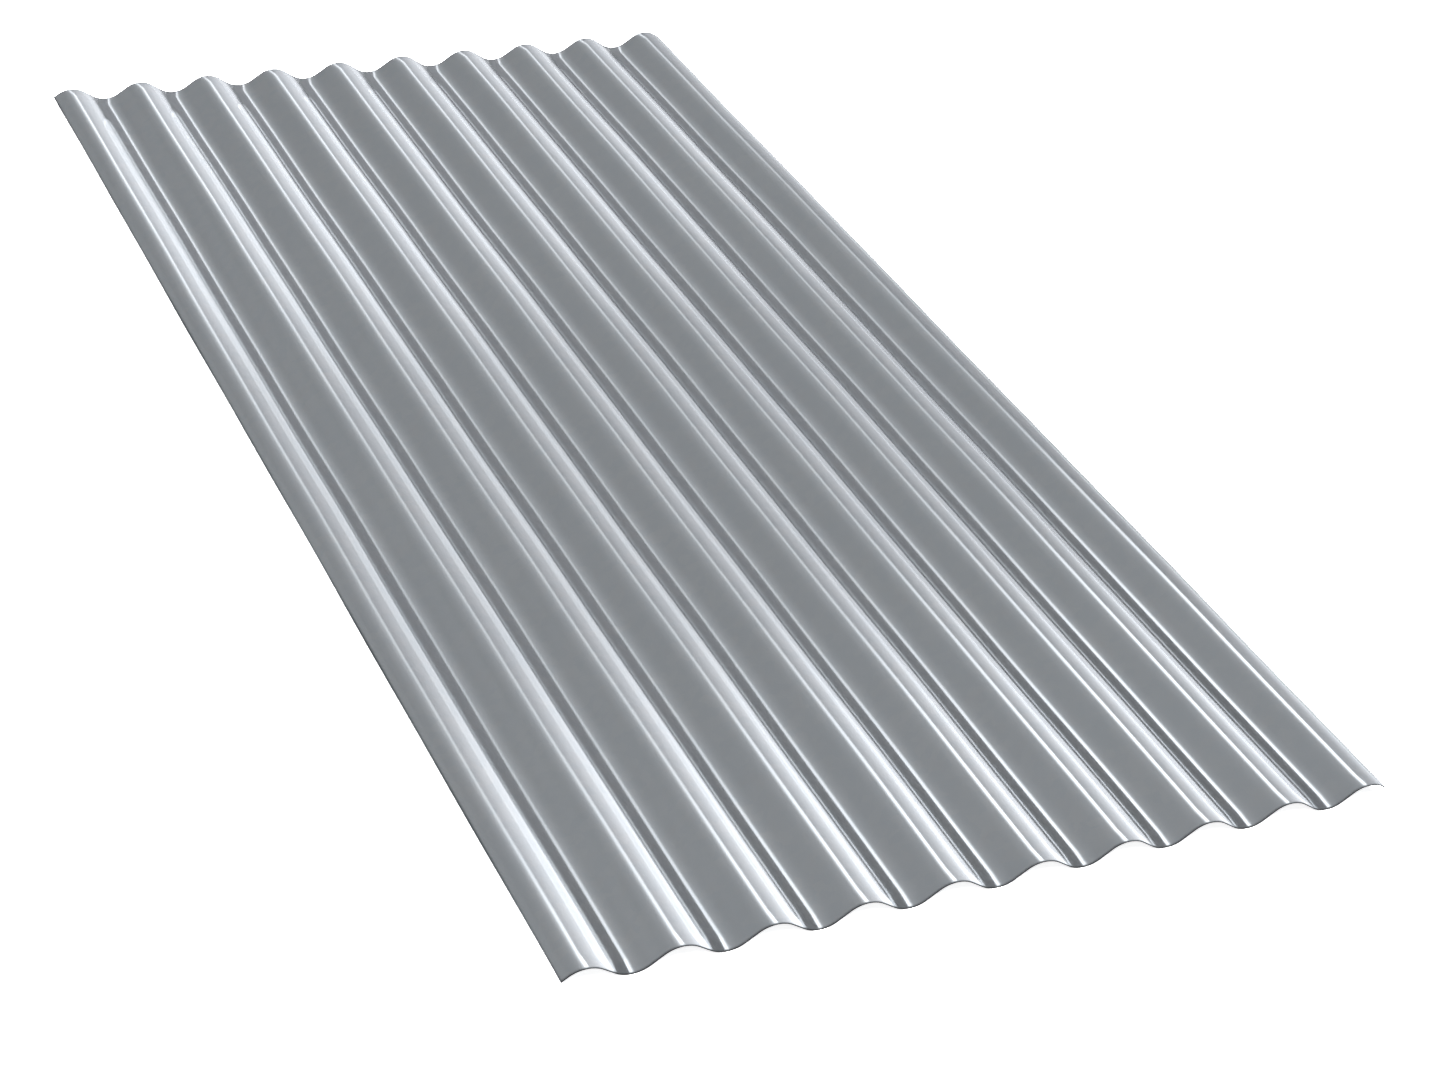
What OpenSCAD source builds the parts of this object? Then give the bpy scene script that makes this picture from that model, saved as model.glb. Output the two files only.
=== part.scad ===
// Corrugated metal roofing sheet, as one formed piece.
// The corrugations run along Y and are spread along X. The sheet lies on its trough
// undersides at Z = 0, with the origin under its middle.

/* [Corrugation] */
// Distance from one crest to the next
pitch = 76.2; // [50:0.1:99]
// Number of crests across the sheet, which has one trough fewer
crest_count = 10; // [3:1:16]
// Overall height, from the underside of a trough to the top of a crest
rib_height = 16; // [12.5:0.5:25]
// Slope of the straight flank between a crest and a trough, in degrees
flank_angle = 34; // [24:1:43]

/* [Sheet] */
// Length of the sheet, along the corrugations
sheet_length = 1500; // [300:10:6000]
// Thickness of the metal, with its coating
thickness = 0.8; // [0.3:0.05:1.2]
// Straight width of the lip outside each outer crest, measured down its slope
lip_width = 6; // [2:0.1:12]

/* [Hidden] */

// Flat facets that make up each rounded crest or trough
bend_facets = 12;
// Rise from the mid-line of a trough to the mid-line of a crest
wave_height = rib_height - thickness;
// Mid-line radius at which every bend runs into its flanks without a kink
bend_radius = (pitch / 2 * tan(flank_angle) - wave_height) / (2 / cos(flank_angle) - 2);
// Heights of the bends' centres above the floor
crest_centre_z = thickness / 2 + wave_height - bend_radius;
trough_centre_z = thickness / 2 + bend_radius;
// Place of the first crest, which puts the middle of the row at X = 0
first_crest_x = -(crest_count - 1) / 2 * pitch;

// A mid-line station is a point and the upward normal there: [[x, z], [nx, nz]].
// The stations of one bend run from its left flank to its right one.
// The bulge is 1 at a crest and -1 at a trough.
function bend(x, z, bulge) = [
    for (i = [0 : bend_facets])
        let (a = flank_angle * (2 * i / bend_facets - 1))
        [[x + bend_radius * sin(a), z + bulge * bend_radius * cos(a)], [bulge * sin(a), cos(a)]]
];

function crest(i) = bend(first_crest_x + i * pitch, crest_centre_z, 1);

function trough(i) = bend(first_crest_x + (i + 0.5) * pitch, trough_centre_z, -1);

// The free end of a lip, straight on down the slope from the outer bend's last station.
// The side is -1 on the left and 1 on the right.
function lip_end(station, side) = [
    station[0] + lip_width * [side * cos(flank_angle), -sin(flank_angle)],
    station[1]
];

function mid_line() = [
    lip_end(crest(0)[0], -1),
    for (i = [0 : crest_count - 2]) each concat(crest(i), trough(i)),
    each crest(crest_count - 1),
    lip_end(crest(crest_count - 1)[bend_facets], 1)
];

// The face that lies half a thickness to one side of the mid-line: 1 is the top, -1 the underside.
function face(stations, side) = [for (s = stations) s[0] + side * thickness / 2 * s[1]];

function reversed(points) = [for (i = [len(points) - 1 : -1 : 0]) points[i]];

module profile() {
    stations = mid_line();
    polygon(concat(face(stations, 1), reversed(face(stations, -1))));
}

module corrugated_sheet() {
    color([0.62, 0.64, 0.66])
        rotate([90, 0, 0])
            linear_extrude(height = sheet_length, center = true)
                profile();
}

corrugated_sheet();
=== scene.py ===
"""Looks of a corrugated galvanised steel sheet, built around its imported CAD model.

The sheet is one rolled piece. Its visible skin is a closed shell worked out from the
corrugation's own dimensions and laid inside the CAD sheet's box, give or take half a
millimetre of unevenness.
Everything is in metres: X across the corrugations, Y along them, Z up.
"""

import math

import bpy
import numpy as np
from mathutils import Matrix, Vector


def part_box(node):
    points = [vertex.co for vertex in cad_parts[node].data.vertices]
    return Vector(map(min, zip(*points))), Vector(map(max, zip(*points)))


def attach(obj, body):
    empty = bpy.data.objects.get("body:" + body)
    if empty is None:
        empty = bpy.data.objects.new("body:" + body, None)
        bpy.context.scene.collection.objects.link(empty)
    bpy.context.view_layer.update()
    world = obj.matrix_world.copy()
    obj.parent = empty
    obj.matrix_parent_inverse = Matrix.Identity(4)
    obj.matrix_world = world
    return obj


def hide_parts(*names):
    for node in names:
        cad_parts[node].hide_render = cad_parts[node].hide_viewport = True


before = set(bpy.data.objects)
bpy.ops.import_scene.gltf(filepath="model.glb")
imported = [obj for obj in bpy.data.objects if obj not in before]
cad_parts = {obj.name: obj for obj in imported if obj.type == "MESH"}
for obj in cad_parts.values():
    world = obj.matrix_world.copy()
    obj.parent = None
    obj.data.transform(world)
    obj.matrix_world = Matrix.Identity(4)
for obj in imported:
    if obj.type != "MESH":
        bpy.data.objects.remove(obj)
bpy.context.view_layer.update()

# ---------------------------------------------------------------- dimensions

SHEET_LOW, SHEET_HIGH = (np.array(corner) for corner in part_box("corrugated_sheet"))

PITCH = 0.0762
CREST_COUNT = 10
FLANK_ANGLE = math.radians(34)
THICKNESS = 0.0008

SHEET_LENGTH = SHEET_HIGH[1] - SHEET_LOW[1]
WAVE_HEIGHT = SHEET_HIGH[2] - SHEET_LOW[2] - THICKNESS
BEND_RADIUS = (
    (PITCH / 2 * math.tan(FLANK_ANGLE) - WAVE_HEIGHT) / (2 / math.cos(FLANK_ANGLE) - 2)
)
# The lip's end face is square to its slope, so its upper corner is what reaches furthest out
LIP_END_X = SHEET_HIGH[0] - THICKNESS / 2 * math.sin(FLANK_ANGLE)


# ------------------------------------------------------------------ the sheet

BEND_STEPS = 20
FLANK_STEPS = 4
LENGTH_STEPS = 90
EDGE_RADIUS = 0.00018
EDGE_STEPS = 3


def bend_line(middle_x, bulge):
    """Mid-line of one bend as (x, z, tilt), from its left flank to its right one.

    An arc of BEND_RADIUS over the angles -FLANK_ANGLE to FLANK_ANGLE about its
    own centre, which hangs below a crest (bulge 1) and stands above a trough (-1).
    The tilt is how far the upward normal leans towards +X.
    """
    turn = np.linspace(-FLANK_ANGLE, FLANK_ANGLE, BEND_STEPS + 1)
    crest_centre = SHEET_HIGH[2] - THICKNESS / 2 - BEND_RADIUS
    trough_centre = SHEET_LOW[2] + THICKNESS / 2 + BEND_RADIUS
    centre_z = crest_centre if bulge > 0 else trough_centre
    x = middle_x + BEND_RADIUS * np.sin(turn)
    z = centre_z + bulge * BEND_RADIUS * np.cos(turn)
    return np.stack([x, z, bulge * turn], axis=1)


def straight_line(start, end, steps):
    """Stations strictly between two others, evenly spaced on the straight line."""
    share = np.arange(1, steps)[:, None] / steps
    return start + share * (end - start)


def lip_end(station, side):
    """The free end of a lip: straight on down its flank to LIP_END_X."""
    run = LIP_END_X - abs(station[0])
    return np.array([side * LIP_END_X, station[1] - run * math.tan(FLANK_ANGLE), station[2]])


def mid_line():
    """The whole mid-line from lip to lip: crests and troughs in turn, joined by flanks."""
    bends = [
        bend_line((half_pitches - CREST_COUNT + 1) * PITCH / 2, -1 if half_pitches % 2 else 1)
        for half_pitches in range(2 * CREST_COUNT - 1)
    ]
    left_lip = lip_end(bends[0][0], -1)
    right_lip = lip_end(bends[-1][-1], 1)
    rows = [left_lip[None], straight_line(left_lip, bends[0][0], FLANK_STEPS)]
    for bend, following in zip(bends, bends[1:]):
        rows += [bend, straight_line(bend[-1], following[0], FLANK_STEPS)]
    rows += [bends[-1], straight_line(bends[-1][-1], right_lip, FLANK_STEPS), right_lip[None]]
    return np.concatenate(rows)


def lip_round(start, end, outward):
    """Points strictly between two others, on the half ellipse that bulges EDGE_RADIUS outward."""
    turn = np.linspace(0, math.pi, EDGE_STEPS + 2)[1:-1, None]
    half = (start - end) / 2
    return (start + end) / 2 + half * np.cos(turn) + EDGE_RADIUS * outward * np.sin(turn)


def section_loop():
    """The sheet's section as (x, z): its closed outline, once round, and its mid-line.

    The upper face is the mid-line moved half a thickness along its normal, the
    underside is the mid-line moved the other way, and a lip_round joins them at
    each lip.
    """
    x, z, tilt = mid_line().T
    normal = np.stack([np.sin(tilt), np.cos(tilt)], axis=1)
    middle = np.stack([x, z], axis=1)
    right_slope = np.array([math.cos(FLANK_ANGLE), -math.sin(FLANK_ANGLE)])
    left_slope = right_slope * [-1, 1]
    middle[0] -= EDGE_RADIUS * left_slope
    middle[-1] -= EDGE_RADIUS * right_slope
    upper = middle + THICKNESS / 2 * normal
    under = middle - THICKNESS / 2 * normal
    right_round = lip_round(upper[-1], under[-1], right_slope)
    left_round = lip_round(under[0], upper[0], left_slope)
    return np.concatenate([upper, right_round, under[::-1], left_round]), middle


# How far a sheet of this thickness lies off a true plane, and how far its ribs stray sideways
LIFT = 0.0005
STRAY = 0.0004
# Waves of unevenness: length along Y, turns gained per metre of X, and phase
SLOW_WAVE = (0.61, 1.9, 0.7)
QUICK_WAVE = (0.27, -4.3, 2.1)
CROSS_WAVE = (0.43, -6.1, 4.0)


def slanting_wave(x, y, wave):
    """A sine wave that runs along the sheet at a slant: -1 to 1."""
    length, slant, phase = wave
    return np.sin(2 * math.pi * (y / length + slant * x) + phase)


def unevenness(x, y):
    """Sideways stray and lift of the sheet at (x, y), as two arrays.

    Each is the mean of two waves that keep no common step with each other or with
    the pitch. The stray swings both ways by STRAY at the most; the lift is moved up
    so that it runs from 0 to LIFT.
    """
    slow = slanting_wave(x, y, SLOW_WAVE)
    quick = slanting_wave(x, y, QUICK_WAVE)
    cross = slanting_wave(x, y, CROSS_WAVE)
    return STRAY * (slow + quick) / 2, LIFT * (0.5 + (slow + cross) / 4)


def ring_stations():
    """Where each ring of the shell stands along Y, and how far it shrinks, as two arrays.

    Close to each end face the rings follow a quarter circle of EDGE_RADIUS, which
    rounds the cut edge. In between they stand evenly and don't shrink.
    """
    turn = np.linspace(0, math.pi / 2, EDGE_STEPS + 1)
    run_in = EDGE_RADIUS * (1 - np.cos(turn))
    shrink = EDGE_RADIUS * (1 - np.sin(turn))
    low, high = SHEET_LOW[1], SHEET_HIGH[1]
    even = np.linspace(low + EDGE_RADIUS, high - EDGE_RADIUS, LENGTH_STEPS + 1)[1:-1]
    along = np.concatenate([low + run_in, even, high - run_in[::-1]])
    inset = np.concatenate([shrink, np.zeros(LENGTH_STEPS - 1), shrink[::-1]])
    return along, inset


def shell_faces(across, around, rings):
    """Faces of the shell: quads between the rings, and both end faces.

    across is the number of stations on the mid-line and around the number of points
    in a ring. An end face is a row of quads between the upper and the under line and
    one fan at each lip.
    """
    ring = np.arange(rings - 1)[:, None] * around
    spot = np.arange(around)[None, :]
    following = (spot + 1) % around
    side = np.stack([ring + spot, ring + following, ring + around + following,
                     ring + around + spot], axis=-1).reshape(-1, 4)

    last_ring = (rings - 1) * around
    top = np.arange(across - 1)
    bottom = across + EDGE_STEPS + (across - 1 - top)
    front_cap = np.stack([top, bottom, bottom - 1, top + 1], axis=1)
    back_cap = front_cap[:, ::-1] + last_ring
    right = across - 1 + np.arange(EDGE_STEPS + 2)
    left = (2 * across + EDGE_STEPS - 1 + np.arange(EDGE_STEPS + 2)) % around
    fans = [right[::-1], left[::-1], right + last_ring, left + last_ring]
    quads = np.concatenate([side, front_cap, back_cap])
    return quads.tolist() + [fan.tolist() for fan in fans]


def sheet_shell(name):
    """The whole sheet as one closed shell.

    The section loop is carried along Y from ring to ring. A ring that shrinks moves
    each of its points towards that point's place on the mid-line, which keeps the
    shape of the section. Last, every point is moved by the unevenness at its place
    on the mid-line.
    """
    loop, middle = section_loop()
    core = np.concatenate([middle, np.repeat(middle[-1:], EDGE_STEPS, 0), middle[::-1],
                           np.repeat(middle[:1], EDGE_STEPS, 0)])
    outward = (loop - core) / (THICKNESS / 2)
    along, inset = ring_stations()

    co = np.empty((len(along), len(loop), 3))
    co[:, :, 0] = loop[None, :, 0] - inset[:, None] * outward[None, :, 0]
    co[:, :, 1] = along[:, None]
    co[:, :, 2] = loop[None, :, 1] - inset[:, None] * outward[None, :, 1]
    stray, lift = unevenness(core[None, :, 0], along[:, None])
    co[:, :, 0] += stray
    co[:, :, 2] += lift

    mesh = bpy.data.meshes.new(name)
    mesh.from_pydata(co.reshape(-1, 3), [], shell_faces(len(middle), len(loop), len(along)))
    mesh.polygons.foreach_set("use_smooth", np.ones(len(mesh.polygons), bool))
    mesh.update()
    sheet = bpy.data.objects.new(name, mesh)
    bpy.context.scene.collection.objects.link(sheet)
    return sheet


# ------------------------------------------------------------------ materials

# Nearly all the values of a noise lie in this range
NOISE_RANGE = (0.3, 0.7)
# The noise that frays the crystals' borders is this many times finer than the crystals
FRAY_FINENESS = 2.5

ZINC_DEEP = (0.755, 0.775, 0.795, 1)
ZINC_PALE = (0.800, 0.805, 0.815, 1)
ZINC_COOL = (0.745, 0.770, 0.800, 1)
ZINC_WARM = (0.785, 0.770, 0.765, 1)
# Near-black for the cut edges: bare steel there, with its darkness painted shade that draws a dark
# line along the sheet's edges
BARE_STEEL_AND_PAINTED_SHADE = (0.10, 0.105, 0.11, 1)
# Roughness of the smoothest coat, and what the crystals, lines, clouds and cut edges add to it
COAT_ROUGHNESS = 0.07
CRYSTALS_ADD = 0.03
LINES_ADD = 0.02
CLOUDS_ADD = 0.02
EDGES_ADD = 0.35
COAT_METALLIC = 0.62
EDGE_METALLIC = 0.25
# Which part of the smears and of the cut edge's nearness counts, and how far each tints the coat
THICK_SMEAR = (0.6, 1)
FULL_EDGE = (0, 0.8)
UNIT = (0, 1)
CLOUD_TINT = (0, 0.5)
SMEAR_TINT = (0, 0.3)
# The smears stand this many times as high as the rolling lines
SMEAR_HEIGHT = 2.0
LINE_HEIGHT = 0.000006
BUMP_STRENGTH = 0.35

PAPER_DEEP = (0.93, 0.93, 0.935, 1)
PAPER_PALE = (0.96, 0.96, 0.96, 1)
PAPER_GLOW = 0.85
DIM_STUDIO = (0.055, 0.057, 0.060, 1)
BLACK = (0, 0, 0, 1)
WHITE = (1, 1, 1, 1)


def new_material(name):
    """An empty node material, as (material, tree)."""
    material = bpy.data.materials.new(name)
    material.use_nodes = True
    tree = material.node_tree
    tree.nodes.clear()
    return material, tree


def connect(tree, value, socket):
    """Feeds a socket from another socket, or sets it to a plain value."""
    if isinstance(value, bpy.types.NodeSocket):
        tree.links.new(value, socket)
    else:
        socket.default_value = value


def socket_math(tree, kind, *values):
    """A Math node fed by sockets or numbers, in order; returns its output socket."""
    node = tree.nodes.new("ShaderNodeMath")
    node.operation = kind
    for socket, value in zip(node.inputs, values):
        connect(tree, value, socket)
    return node.outputs[0]


def remap(tree, value, old, new):
    """Value moved from the range old to the range new, and held inside it."""
    node = tree.nodes.new("ShaderNodeMapRange")
    connect(tree, value, node.inputs["Value"])
    node.inputs["From Min"].default_value, node.inputs["From Max"].default_value = old
    node.inputs["To Min"].default_value, node.inputs["To Max"].default_value = new
    return node.outputs["Result"]


def mix_colour(tree, share, first, second):
    """A colour between two others."""
    node = tree.nodes.new("ShaderNodeMix")
    node.data_type = "RGBA"
    for value, name in ((share, "Factor"), (first, "A"), (second, "B")):
        connect(tree, value, node.inputs[name])
    return node.outputs["Result"]


def new_group(name, inputs, output):
    """An empty shader node group with number inputs, one Vector and one number output.

    Returns the group, its input node and the socket that takes the result.
    """
    group = bpy.data.node_groups.new(name, "ShaderNodeTree")
    group.interface.new_socket("Vector", in_out="INPUT", socket_type="NodeSocketVector")
    for label in inputs:
        group.interface.new_socket(label, in_out="INPUT", socket_type="NodeSocketFloat")
    group.interface.new_socket(output, in_out="OUTPUT", socket_type="NodeSocketFloat")
    given = group.nodes.new("NodeGroupInput")
    result = group.nodes.new("NodeGroupOutput")
    return group, given, result.inputs[output]


def add_group(tree, group, vector, **values):
    """Places a group in a tree with its own values and returns its output."""
    node = tree.nodes.new("ShaderNodeGroup")
    node.node_tree = group
    tree.links.new(vector, node.inputs["Vector"])
    for label, value in values.items():
        node.inputs[label.replace("_", " ").title()].default_value = value
    return node.outputs[0]


def cloudy_group():
    """Soft uneven patches, as on dull metal or on paper: 0 to 1."""
    group, given, result = new_group("cloudy_patches", ["Patch Size"], "Cloud")
    noise = group.nodes.new("ShaderNodeTexNoise")
    noise.inputs["Detail"].default_value = 3
    noise.inputs["Roughness"].default_value = 0.55
    group.links.new(given.outputs["Vector"], noise.inputs["Vector"])
    scale = socket_math(group, "DIVIDE", 1.0, given.outputs["Patch Size"])
    group.links.new(scale, noise.inputs["Scale"])
    group.links.new(remap(group, noise.outputs["Fac"], NOISE_RANGE, UNIT), result)
    return group


def spangle_group():
    """Crystals of a zinc coat: each gets its own tone from 0 to 1, with ragged borders."""
    group, given, result = new_group("zinc_spangle", ["Crystal Size", "Raggedness"], "Tone")
    scale = socket_math(group, "DIVIDE", 1.0, given.outputs["Crystal Size"])
    ragged = group.nodes.new("ShaderNodeTexNoise")
    ragged.inputs["Detail"].default_value = 2
    group.links.new(given.outputs["Vector"], ragged.inputs["Vector"])
    group.links.new(socket_math(group, "MULTIPLY", scale, FRAY_FINENESS), ragged.inputs["Scale"])
    shift = group.nodes.new("ShaderNodeVectorMath")
    shift.operation = "MULTIPLY_ADD"
    size = given.outputs["Crystal Size"]
    reach = socket_math(group, "MULTIPLY", given.outputs["Raggedness"], size)
    group.links.new(ragged.outputs["Color"], shift.inputs[0])
    group.links.new(reach, shift.inputs[1])
    group.links.new(given.outputs["Vector"], shift.inputs[2])
    cells = group.nodes.new("ShaderNodeTexVoronoi")
    group.links.new(shift.outputs["Vector"], cells.inputs["Vector"])
    group.links.new(scale, cells.inputs["Scale"])
    tone = group.nodes.new("ShaderNodeSeparateColor")
    group.links.new(cells.outputs["Color"], tone.inputs[0])
    group.links.new(tone.outputs[0], result)
    return group


def rolling_group():
    """Fine lines that the rolls leave along Y: 0 to 1."""
    group, given, result = new_group("rolling_lines", ["Line Spacing", "Line Length"], "Line")
    parts = group.nodes.new("ShaderNodeSeparateXYZ")
    group.links.new(given.outputs["Vector"], parts.inputs[0])
    squeezed = group.nodes.new("ShaderNodeCombineXYZ")
    for axis, size in (("X", "Line Spacing"), ("Y", "Line Length"), ("Z", "Line Spacing")):
        share = socket_math(group, "DIVIDE", parts.outputs[axis], given.outputs[size])
        group.links.new(share, squeezed.inputs[axis])
    noise = group.nodes.new("ShaderNodeTexNoise")
    noise.inputs["Scale"].default_value = 1
    noise.inputs["Detail"].default_value = 2
    group.links.new(squeezed.outputs[0], noise.inputs["Vector"])
    group.links.new(remap(group, noise.outputs["Fac"], NOISE_RANGE, UNIT), result)
    return group


def sheared_and_shade_group():
    """How near a point is to a sheared edge: 1 on the edge, 0 from Reach inwards. It marks the
    duller bare steel there and the painted dark line along the edges.
    """
    sizes = ["Half Width", "Half Length", "Reach"]
    group, given, result = new_group("sheared_edge_and_shade", sizes, "Edge")
    parts = group.nodes.new("ShaderNodeSeparateXYZ")
    group.links.new(given.outputs["Vector"], parts.inputs[0])
    nearness = []
    for axis, size in (("X", "Half Width"), ("Y", "Half Length")):
        off = socket_math(group, "ABSOLUTE", parts.outputs[axis])
        inside = socket_math(group, "SUBTRACT", given.outputs[size], off)
        share = socket_math(group, "DIVIDE", inside, given.outputs["Reach"])
        nearness.append(remap(group, share, UNIT, (1, 0)))
    group.links.new(socket_math(group, "MAXIMUM", *nearness), result)
    return group


def galvanised_steel(cloudy, spangle, rolling, sheared_and_shade):
    """Bright zinc coat: faint crystals and clouds, rolling lines, and duller bare steel at the
    sheared edges, painted near-black there as a painted shade line along every edge.

    The coat is part mirror and part soft white sheen, so that it takes raking light.
    """
    material, tree = new_material("galvanised_steel")
    place = tree.nodes.new("ShaderNodeTexCoord").outputs["Object"]
    cloud = add_group(tree, cloudy, place, patch_size=0.11)
    smear = add_group(tree, cloudy, place, patch_size=0.018)
    tone = add_group(tree, spangle, place, crystal_size=0.009, raggedness=0.35)
    line = add_group(tree, rolling, place, line_spacing=0.0011, line_length=0.09)
    edge = add_group(tree, sheared_and_shade, place, half_width=float(SHEET_HIGH[0]),
                     half_length=float(SHEET_LENGTH / 2), reach=0.0020)

    coat = mix_colour(tree, tone, ZINC_DEEP, ZINC_PALE)
    coat = mix_colour(tree, remap(tree, cloud, UNIT, CLOUD_TINT), coat, ZINC_COOL)
    coat = mix_colour(tree, remap(tree, smear, THICK_SMEAR, SMEAR_TINT), coat, ZINC_WARM)
    # Within a couple of millimetres of every edge the coat turns near-black: painted shade for the
    # dark edge line
    coat = mix_colour(tree, remap(tree, edge, FULL_EDGE, UNIT), coat, BARE_STEEL_AND_PAINTED_SHADE)

    rough = socket_math(tree, "MULTIPLY_ADD", tone, CRYSTALS_ADD, COAT_ROUGHNESS)
    rough = socket_math(tree, "MULTIPLY_ADD", line, LINES_ADD, rough)
    rough = socket_math(tree, "MULTIPLY_ADD", cloud, CLOUDS_ADD, rough)
    rough = socket_math(tree, "MULTIPLY_ADD", edge, EDGES_ADD, rough)
    metal = remap(tree, edge, UNIT, (COAT_METALLIC, EDGE_METALLIC))

    height = socket_math(tree, "MULTIPLY_ADD", smear, SMEAR_HEIGHT, line)
    bump = tree.nodes.new("ShaderNodeBump")
    bump.inputs["Strength"].default_value = BUMP_STRENGTH
    bump.inputs["Distance"].default_value = LINE_HEIGHT
    tree.links.new(height, bump.inputs["Height"])

    shader = tree.nodes.new("ShaderNodeBsdfPrincipled")
    tree.links.new(coat, shader.inputs["Base Color"])
    tree.links.new(metal, shader.inputs["Metallic"])
    tree.links.new(rough, shader.inputs["Roughness"])
    tree.links.new(bump.outputs["Normal"], shader.inputs["Normal"])
    out = tree.nodes.new("ShaderNodeOutputMaterial")
    tree.links.new(shader.outputs[0], out.inputs[0])
    return material


def floor_paint(cloudy):
    """White paper that glows a little to the lens, and is as dim as the studio to the metal."""
    material, tree = new_material("studio_floor")
    place = tree.nodes.new("ShaderNodeTexCoord").outputs["Object"]
    cloud = add_group(tree, cloudy, place, patch_size=0.5)
    paper = mix_colour(tree, cloud, PAPER_DEEP, PAPER_PALE)
    ray = tree.nodes.new("ShaderNodeLightPath").outputs["Is Camera Ray"]
    tint = mix_colour(tree, ray, DIM_STUDIO, paper)
    glow = mix_colour(tree, ray, BLACK, WHITE)
    shader = tree.nodes.new("ShaderNodeBsdfPrincipled")
    tree.links.new(tint, shader.inputs["Base Color"])
    tree.links.new(glow, shader.inputs["Emission Color"])
    shader.inputs["Emission Strength"].default_value = PAPER_GLOW
    shader.inputs["Roughness"].default_value = 1.0
    shader.inputs["Specular IOR Level"].default_value = 0.0
    out = tree.nodes.new("ShaderNodeOutputMaterial")
    tree.links.new(shader.outputs[0], out.inputs[0])
    return material


# --------------------------------------------------------------------- studio


def stage_rectangle(name, corners, material):
    """A flat four-cornered piece of the stage."""
    mesh = bpy.data.meshes.new(name)
    mesh.from_pydata(corners, [], [[0, 1, 2, 3]])
    mesh.materials.append(material)
    rectangle = bpy.data.objects.new(name, mesh)
    bpy.context.scene.collection.objects.link(rectangle)
    return rectangle


# The floor reaches well past the view
FLOOR_HALF = 12


def pale_floor(paint):
    """A flat square floor."""
    half = FLOOR_HALF
    corners = [(-half, -half, 0), (half, -half, 0), (half, half, 0), (-half, half, 0)]
    return stage_rectangle("floor", corners, paint)


# The studio is lit by long banks of light that run parallel to the corrugations.
# Each row is an angle about the Y axis in degrees, the brightness there towards the front,
# the middle and the back of the studio, and a tint. 0 is the right-hand horizon, 90 is
# straight up and 180 the left-hand horizon.
COOL = (0.925, 0.965, 1.0)
LILAC = (0.91, 0.935, 1.0)
BANKS = [
    (0, 0.30, 0.15, 0.25, COOL),
    (10, 0.26, 0.15, 0.25, COOL),
    (20, 0.09, 0.17, 0.30, LILAC),
    (40, 0.07, 0.18, 0.28, LILAC),
    (56, 0.12, 0.19, 0.34, LILAC),
    (59, 2.20, 0.24, 1.80, COOL),
    (63, 2.30, 0.85, 1.80, COOL),
    (68, 2.00, 0.80, 0.90, COOL),
    (72, 0.80, 0.48, 0.58, COOL),
    (78, 0.38, 0.42, 0.38, COOL),
    (105, 0.270, 0.268, 0.24, COOL),
    (125, 0.248, 0.242, 0.225, COOL),
    (160, 0.38, 0.38, 0.38, COOL),
    (180, 0.60, 0.60, 0.60, COOL),
]
# How far a direction points along +Y where the front part gives way to the middle, and the
# middle to the back: where each change starts and ends
FRONT_TO_MIDDLE = (0.64, 0.72)
MIDDLE_TO_BACK = (0.79, 0.87)


def ramp_of(tree, source, stops):
    """A colour ramp over source whose stops are (position, colour)."""
    ramp = tree.nodes.new("ShaderNodeValToRGB")
    elements = ramp.color_ramp.elements
    while len(elements) < len(stops):
        elements.new(1.0)
    for element, (position, colour) in zip(elements, stops):
        element.position = position
        element.color = (*colour, 1)
    tree.links.new(source, ramp.inputs[0])
    return ramp.outputs["Color"]


def banks_colour(tree):
    """Colour of the studio in each direction, from BANKS.

    The angle about the Y axis is the arc tangent of the direction's height over its
    X, with the part below the horizon folded up. Each part of the studio is a ramp
    over that angle, and the parts are blended by how far the direction points along Y.
    """
    direction = tree.nodes.new("ShaderNodeTexCoord")
    parts = tree.nodes.new("ShaderNodeSeparateXYZ")
    tree.links.new(direction.outputs["Generated"], parts.inputs[0])
    lifted = socket_math(tree, "ABSOLUTE", parts.outputs["Z"])
    about_y = socket_math(tree, "ARCTAN2", lifted, parts.outputs["X"])
    half_turns = socket_math(tree, "DIVIDE", about_y, math.pi)
    ramps = []
    for part in range(3):
        stops = [
            (degrees / 180, [levels[part] * channel for channel in tint])
            for degrees, *levels, tint in BANKS
        ]
        ramps.append(ramp_of(tree, half_turns, stops))
    seen = ramps[0]
    for following, change in zip(ramps[1:], (FRONT_TO_MIDDLE, MIDDLE_TO_BACK)):
        share = remap(tree, parts.outputs["Y"], change, UNIT)
        seen = mix_colour(tree, share, seen, following)
    return seen


def studio_world():
    """Surroundings: the banks of light to the metal, plain white to the lens."""
    world = bpy.data.worlds.new("studio")
    bpy.context.scene.world = world
    world.use_nodes = True
    world.cycles.sampling_method = "NONE"
    tree = world.node_tree
    tree.nodes.clear()
    banks = tree.nodes.new("ShaderNodeBackground")
    white = tree.nodes.new("ShaderNodeBackground")
    ray = tree.nodes.new("ShaderNodeLightPath")
    blend = tree.nodes.new("ShaderNodeMixShader")
    out = tree.nodes.new("ShaderNodeOutputWorld")
    tree.links.new(banks_colour(tree), banks.inputs["Color"])
    white.inputs["Color"].default_value = WHITE
    tree.links.new(ray.outputs["Is Camera Ray"], blend.inputs[0])
    tree.links.new(banks.outputs[0], blend.inputs[1])
    tree.links.new(white.outputs[0], blend.inputs[2])
    tree.links.new(blend.outputs[0], out.inputs[0])


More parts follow.
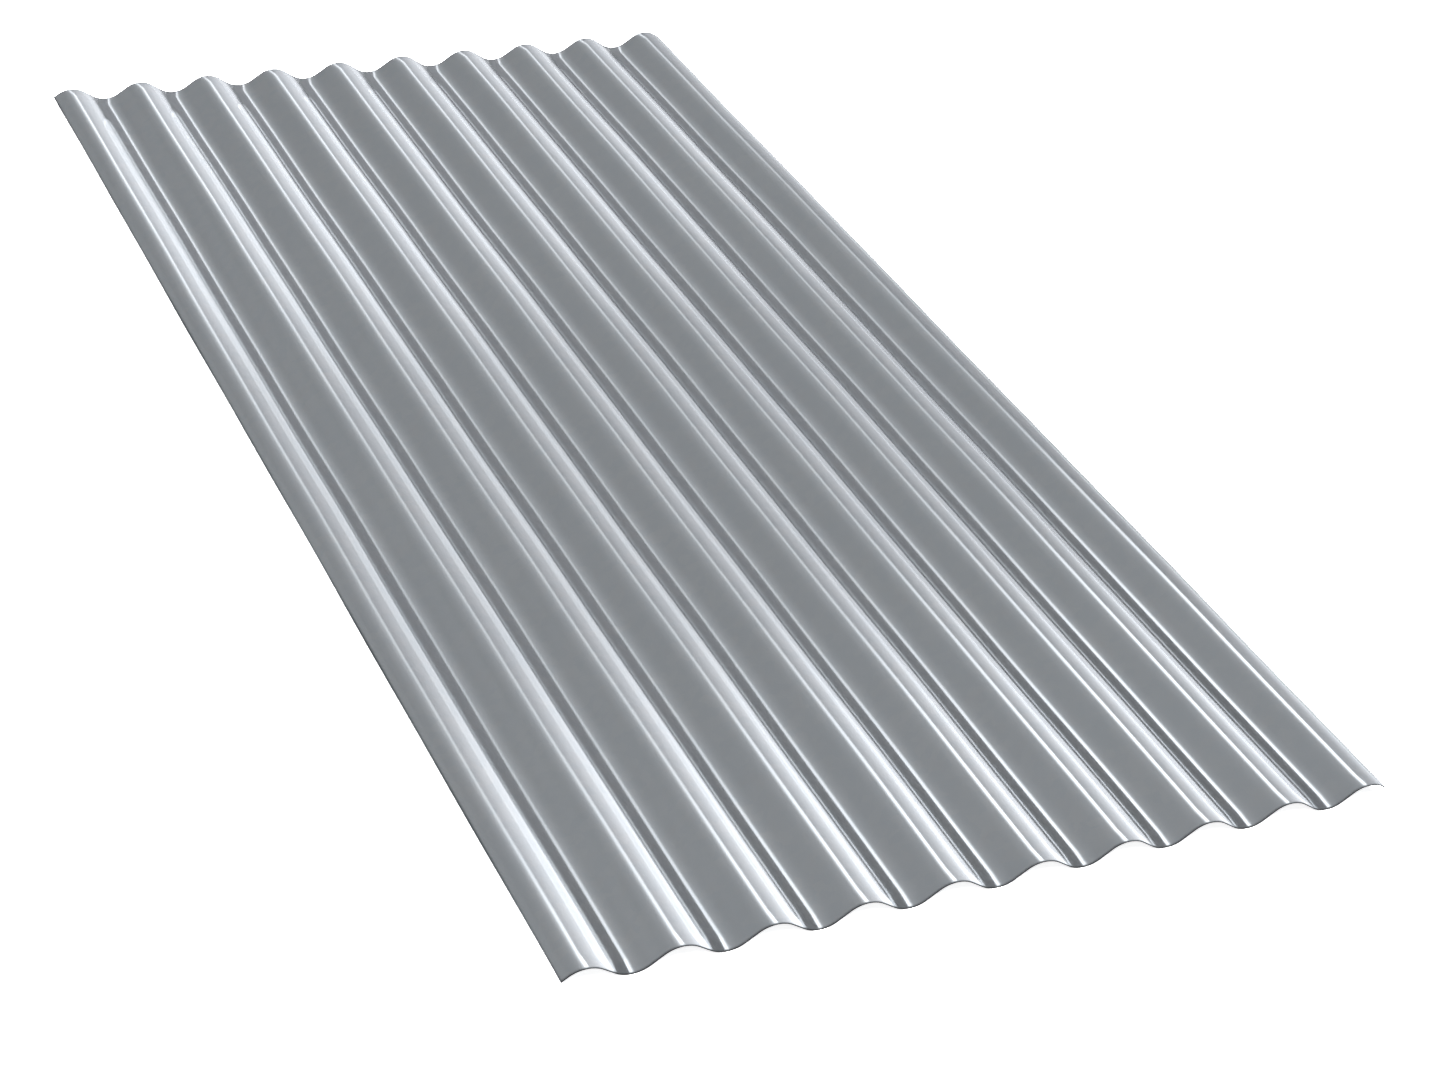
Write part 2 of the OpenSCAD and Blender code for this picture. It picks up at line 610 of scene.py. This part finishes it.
def place_lamp(name, data, place, aim, lights):
    """Stands a lamp at place, faces it towards aim, and lets it light only the objects given."""
    lamp = bpy.data.objects.new(name, data)
    bpy.context.scene.collection.objects.link(lamp)
    turn = (Vector(aim) - Vector(place)).to_track_quat("-Z", "Y").to_matrix().to_4x4()
    lamp.matrix_world = Matrix.Translation(place) @ turn
    receivers = bpy.data.collections.new(name + "_lights")
    for piece in lights:
        receivers.objects.link(piece)
    lamp.light_linking.receiver_collection = receivers
    lamp.visible_camera = False
    return lamp


def softbox(name, place, aim, width, height, power, lights):
    """A rectangular lamp, width by height, which lights only the objects given."""
    data = bpy.data.lights.new(name, "AREA")
    data.shape = "RECTANGLE"
    data.size = width
    data.size_y = height
    data.energy = power
    return place_lamp(name, data, place, aim, lights)


def spotlight(name, place, aim, radius, cone, power, lights):
    """A round lamp whose beam, cone degrees wide, fades from its middle to its rim."""
    data = bpy.data.lights.new(name, "SPOT")
    data.shadow_soft_size = radius
    data.spot_size = math.radians(cone)
    data.spot_blend = 1
    data.energy = power
    return place_lamp(name, data, place, aim, lights)


RAKE_DISTANCE = 7
RAKE_COLOUR = (0.945, 0.965, 1.0)
# The net's place and height, so that its shadow just covers the outer right-hand crest, and
# the share of the light that it stops
NET_X = SHEET_HIGH[0] + 0.023
NET_HEIGHT = 0.026
NET_CLOSED = 0.35


def rake_place(degrees, y):
    """A place on the right, RAKE_DISTANCE from the Y axis and at an angle above the floor."""
    angle = math.radians(degrees)
    return (RAKE_DISTANCE * math.cos(angle), y, RAKE_DISTANCE * math.sin(angle))


def raking_light(sheet):
    """Lamps low on the right, which rake across the corrugations.

    One softbox lights the whole length and a spotlight picks out each end. The lower a
    lamp, the wider the shadow beside each crest.
    """
    lights = [sheet]
    lamps = [
        softbox("middle_rake", rake_place(11.5, 0), aim=(0, 0, 0),
                width=1.2, height=0.08, power=1120, lights=lights),
        spotlight("front_rake", rake_place(13, -0.3), aim=(0, -0.92, 0),
                  radius=0.05, cone=10, power=3500, lights=lights),
        spotlight("back_rake", rake_place(9, 0.2), aim=(0, 0.54, 0),
                  radius=0.05, cone=8, power=3100, lights=lights),
    ]
    for lamp in lamps:
        lamp.data.color = RAKE_COLOUR
        lamp.visible_glossy = False


def lip_net():
    """A net that stands low on the right and softens the raking light on the outer lip.

    It only casts a shadow: neither the lens nor the metal sees it.
    """
    material, tree = new_material("net")
    shader = tree.nodes.new("ShaderNodeBsdfPrincipled")
    shader.inputs["Base Color"].default_value = BLACK
    shader.inputs["Alpha"].default_value = NET_CLOSED
    out = tree.nodes.new("ShaderNodeOutputMaterial")
    tree.links.new(shader.outputs[0], out.inputs[0])
    reach = SHEET_LENGTH
    corners = [(NET_X, -reach, 0), (NET_X, reach, 0), (NET_X, reach, NET_HEIGHT),
               (NET_X, -reach, NET_HEIGHT)]
    net = stage_rectangle("net", corners, material)
    net.visible_camera = net.visible_glossy = net.visible_diffuse = False


SENSOR_WIDTH = 36
FOCAL_LENGTH = 72.138
CAMERA_PLACE = Vector((-1.0179, -2.1601, 1.4267))
CAMERA_AIM = Vector((-0.0071, -0.2550, 0))
CAMERA_ROLL = math.radians(6.33)
CAMERA_REACH = 100


def stand_camera():
    """The camera, out beyond the sheet's front left corner and turned a little about its axis."""
    camera = bpy.data.objects.new("camera", bpy.data.cameras.new("camera"))
    bpy.context.scene.collection.objects.link(camera)
    camera.data.sensor_width = SENSOR_WIDTH
    camera.data.lens = FOCAL_LENGTH
    camera.data.clip_end = CAMERA_REACH
    turn = (CAMERA_AIM - CAMERA_PLACE).to_track_quat("-Z", "Y").to_matrix().to_4x4()
    roll = Matrix.Rotation(CAMERA_ROLL, 4, "Z")
    camera.matrix_world = Matrix.Translation(CAMERA_PLACE) @ turn @ roll
    bpy.context.scene.camera = camera


# ----------------------------------------------------------------- everything

sheet = sheet_shell("sheet_skin")
cloudy = cloudy_group()
sheet.data.materials.append(
    galvanised_steel(cloudy, spangle_group(), rolling_group(), sheared_and_shade_group())
)
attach(sheet, "root")
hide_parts("corrugated_sheet")

floor = pale_floor(floor_paint(cloudy))
studio_world()
raking_light(sheet)
lip_net()
softbox("overhead_softbox", (0, 0, 6), aim=(0, 0, 0), width=9, height=9, power=4500, lights=[floor])
stand_camera()
bpy.context.scene.view_settings.view_transform = "Standard"
